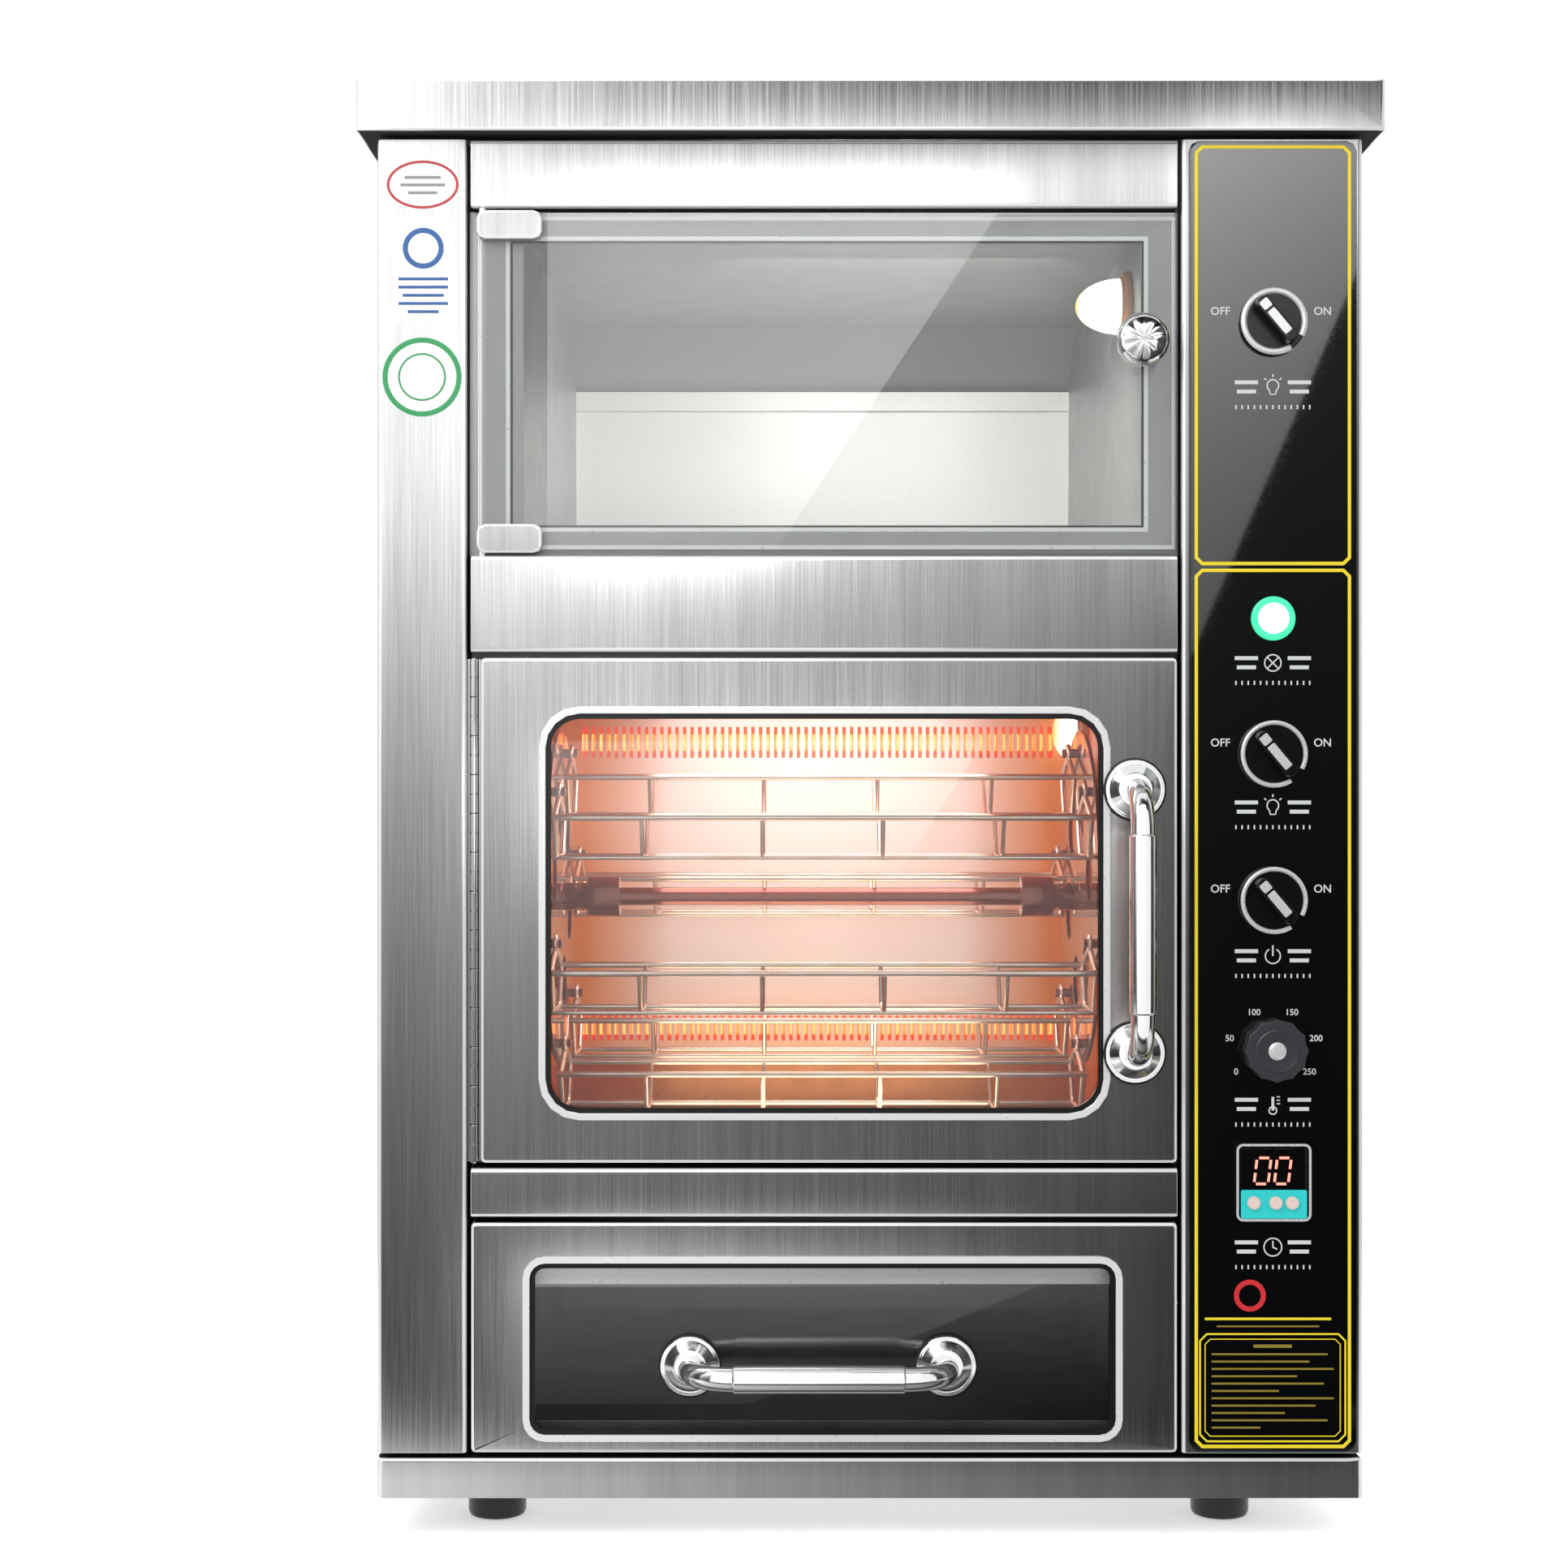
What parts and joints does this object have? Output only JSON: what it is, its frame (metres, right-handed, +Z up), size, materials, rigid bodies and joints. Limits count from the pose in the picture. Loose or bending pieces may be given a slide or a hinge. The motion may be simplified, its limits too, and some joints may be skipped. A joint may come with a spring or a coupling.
{
  "type": "electric roaster",
  "caption": "Upright electric roaster: glass-fronted lit warmer on top, oven with wire baskets hanging from a turning rotor, windowed drawer below, controls at the right.",
  "frame": {"origin": "on the floor, under the middle of the bounding box", "axes": "+Z up, +X to the right of someone who stands in front, +Y to the back"},
  "size_m": [0.6, 0.511, 0.855],
  "materials": {
    "brushed_steel": "satin, brushed upright",
    "liner_steel": "bright, lightly rolled",
    "polished_steel": "polished",
    "wire_steel": "electropolished wire, tanned by heat",
    "motor_steel": "zinc-plated, dull",
    "black_rubber": "matte",
    "black_plastic": "satin black",
    "gloss_black": "high gloss",
    "clear_glass": "clear",
    "lamp_glass": "warm, lit",
    "quartz_white": "milky quartz",
    "green_lens": "moulded ring round a pale lens",
    "button_white": "satin",
    "grey_rubber": "silicone"
  },
  "bodies": {
    "cabinet": {"base_plinth": "brushed_steel", "foot_front_left": "black_rubber", "foot_front_right": "black_rubber", "foot_rear_left": "black_rubber", "foot_rear_right": "black_rubber", "left_side_panel": "brushed_steel", "right_side_panel": "brushed_steel", "back_cover": "brushed_steel", "top_cap": "brushed_steel", "left_column": "brushed_steel", "right_column": "brushed_steel", "control_panel": "gloss_black", "top_fascia": "brushed_steel", "middle_fascia": "brushed_steel", "lower_fascia": "brushed_steel", "warmer_liner": "liner_steel", "warmer_lamp": "lamp_glass", "oven_liner": "liner_steel", "heater_guard": "liner_steel", "upper_heater": "quartz_white", "lower_heater": "quartz_white", "oven_lamp": "lamp_glass", "shaft_bearing_left": "motor_steel", "shaft_bearing_right": "motor_steel", "drive_motor": "motor_steel", "drawer_cradle": "motor_steel", "indicator_lamp": "green_lens", "timer_module": "gloss_black", "hinge_frame_leaf": "polished_steel", "cable_gland": "black_plastic"},
    "oven_door": {"oven_door_shell": "brushed_steel", "oven_door_inner_panel": "liner_steel", "oven_door_glass": "clear_glass", "oven_door_gasket": "grey_rubber", "oven_door_handle": "polished_steel", "hinge_door_leaf": "polished_steel"},
    "warmer_door": {"warmer_door_glass": "clear_glass", "warmer_clip_top": "polished_steel", "warmer_clip_bottom": "polished_steel", "warmer_door_knob": "polished_steel"},
    "rotor": {"rotor_shaft": "liner_steel", "rotor_disc_left": "liner_steel", "rotor_disc_right": "liner_steel"},
    "drawer": {"drawer_front": "brushed_steel", "drawer_tray": "liner_steel", "drawer_window": "clear_glass", "drawer_handle": "polished_steel"},
    "basket_1": {"basket_1": "wire_steel"},
    "basket_2": {"basket_2": "wire_steel"},
    "basket_3": {"basket_3": "wire_steel"},
    "basket_4": {"basket_4": "wire_steel"},
    "basket_5": {"basket_5": "wire_steel"},
    "basket_6": {"basket_6": "wire_steel"},
    "warmer_light_knob": {"warmer_light_knob": "black_plastic"},
    "oven_light_knob": {"oven_light_knob": "black_plastic"},
    "power_knob": {"power_knob": "black_plastic"},
    "thermostat_knob": {"thermostat_knob": "black_plastic"},
    "timer_button_1": {"timer_button_1": "button_white"},
    "timer_button_2": {"timer_button_2": "button_white"},
    "timer_button_3": {"timer_button_3": "button_white"}
  },
  "joints": [
    {"name": "oven_door_hinge", "type": "hinge", "parent": "cabinet", "child": "oven_door", "pos_m": [-0.23245, -0.2083, 0.37025], "axis": [0, 0, -1], "range_deg": [0, 110]},
    {"name": "warmer_door_hinge", "type": "hinge", "parent": "cabinet", "child": "warmer_door", "pos_m": [-0.2278, -0.2063, 0.6805], "axis": [0, 0, -1], "range_deg": [0, 100]},
    {"name": "drawer_slide", "type": "slide", "parent": "cabinet", "child": "drawer", "axis": [0, -1, 0], "range_m": [0, 0.26]},
    {"name": "rotor_spin", "type": "hinge", "parent": "cabinet", "child": "rotor", "pos_m": [-0.0266, -0.03851, 0.371], "axis": [1, 0, 0], "continuous": true},
    {"name": "basket_1_pivot", "type": "hinge", "parent": "rotor", "child": "basket_1", "pos_m": [-0.0266, -0.107, 0.43948], "axis": [1, 0, 0], "continuous": true},
    {"name": "basket_2_pivot", "type": "hinge", "parent": "rotor", "child": "basket_2", "pos_m": [-0.0266, -0.13206, 0.34593], "axis": [1, 0, 0], "continuous": true},
    {"name": "basket_3_pivot", "type": "hinge", "parent": "rotor", "child": "basket_3", "pos_m": [-0.0266, -0.06358, 0.27744], "axis": [1, 0, 0], "continuous": true},
    {"name": "basket_4_pivot", "type": "hinge", "parent": "rotor", "child": "basket_4", "pos_m": [-0.0266, 0.02998, 0.30251], "axis": [1, 0, 0], "continuous": true},
    {"name": "basket_5_pivot", "type": "hinge", "parent": "rotor", "child": "basket_5", "pos_m": [-0.0266, 0.05504, 0.39606], "axis": [1, 0, 0], "continuous": true},
    {"name": "basket_6_pivot", "type": "hinge", "parent": "rotor", "child": "basket_6", "pos_m": [-0.0266, -0.01344, 0.46455], "axis": [1, 0, 0], "continuous": true},
    {"name": "warmer_light_knob_turn", "type": "hinge", "parent": "cabinet", "child": "warmer_light_knob", "pos_m": [0.23585, -0.2123, 0.71463], "axis": [0, 1, 0], "range_deg": [0, 80]},
    {"name": "oven_light_knob_turn", "type": "hinge", "parent": "cabinet", "child": "oven_light_knob", "pos_m": [0.23585, -0.2123, 0.46191], "axis": [0, 1, 0], "range_deg": [0, 80]},
    {"name": "power_knob_turn", "type": "hinge", "parent": "cabinet", "child": "power_knob", "pos_m": [0.23585, -0.2123, 0.37638], "axis": [0, 1, 0], "range_deg": [0, 80]},
    {"name": "thermostat_knob_turn", "type": "hinge", "parent": "cabinet", "child": "thermostat_knob", "pos_m": [0.23585, -0.2123, 0.28931], "axis": [0, 1, 0], "range_deg": [0, 300]},
    {"name": "timer_button_1_press", "type": "slide", "parent": "cabinet", "child": "timer_button_1", "axis": [0, 1, 0], "range_m": [0, 0.001], "stiffness_N_per_m": 300},
    {"name": "timer_button_2_press", "type": "slide", "parent": "cabinet", "child": "timer_button_2", "axis": [0, 1, 0], "range_m": [0, 0.001], "stiffness_N_per_m": 300},
    {"name": "timer_button_3_press", "type": "slide", "parent": "cabinet", "child": "timer_button_3", "axis": [0, 1, 0], "range_m": [0, 0.001], "stiffness_N_per_m": 300}
  ],
  "couplings": [
    {"joint": "basket_1_pivot", "follows": "rotor_spin", "ratio": -1},
    {"joint": "basket_2_pivot", "follows": "rotor_spin", "ratio": -1},
    {"joint": "basket_3_pivot", "follows": "rotor_spin", "ratio": -1},
    {"joint": "basket_4_pivot", "follows": "rotor_spin", "ratio": -1},
    {"joint": "basket_5_pivot", "follows": "rotor_spin", "ratio": -1},
    {"joint": "basket_6_pivot", "follows": "rotor_spin", "ratio": -1}
  ]
}
